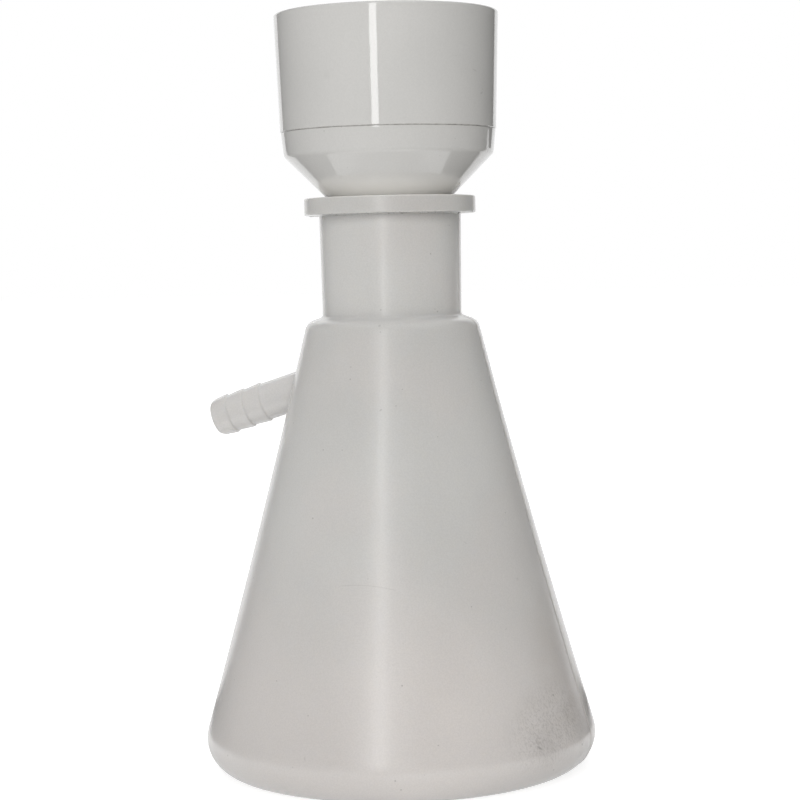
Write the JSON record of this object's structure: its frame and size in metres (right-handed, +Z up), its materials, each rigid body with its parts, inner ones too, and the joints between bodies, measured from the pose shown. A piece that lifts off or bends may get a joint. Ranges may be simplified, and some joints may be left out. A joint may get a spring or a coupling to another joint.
{
  "type": "vacuum filtration unit",
  "caption": "Conical filtering flask with a barbed side arm and a flanged neck, holding a filter funnel whose stem passes through a rubber stopper; the funnel lifts out and its bowl pulls off.",
  "frame": {"origin": "centre of the foot, on the plane that the flask stands on", "axes": "+Z up along the axis of flask and funnel, -X towards the side arm, parting line of the flask in the XZ plane"},
  "size_m": [0.1074, 0.1072, 0.2065],
  "materials": {
    "flask_plastic": "slightly translucent off-white polyethylene, satin, with scuffs",
    "funnel_plastic": "glossy opaque white polypropylene",
    "stopper_rubber": "matt pale rubber"
  },
  "bodies": {
    "flask": {"flask": "flask_plastic"},
    "funnel": {"funnel_base": "funnel_plastic", "neck_stopper": "stopper_rubber"},
    "bowl": {"funnel_bowl": "funnel_plastic"}
  },
  "joints": [
    {"name": "funnel_lift", "type": "slide", "parent": "flask", "child": "funnel", "axis": [0, 0, 1], "range_m": [0, 0.075]},
    {"name": "bowl_lift", "type": "slide", "parent": "funnel", "child": "bowl", "axis": [0, 0, 1], "range_m": [0, 0.04]}
  ]
}
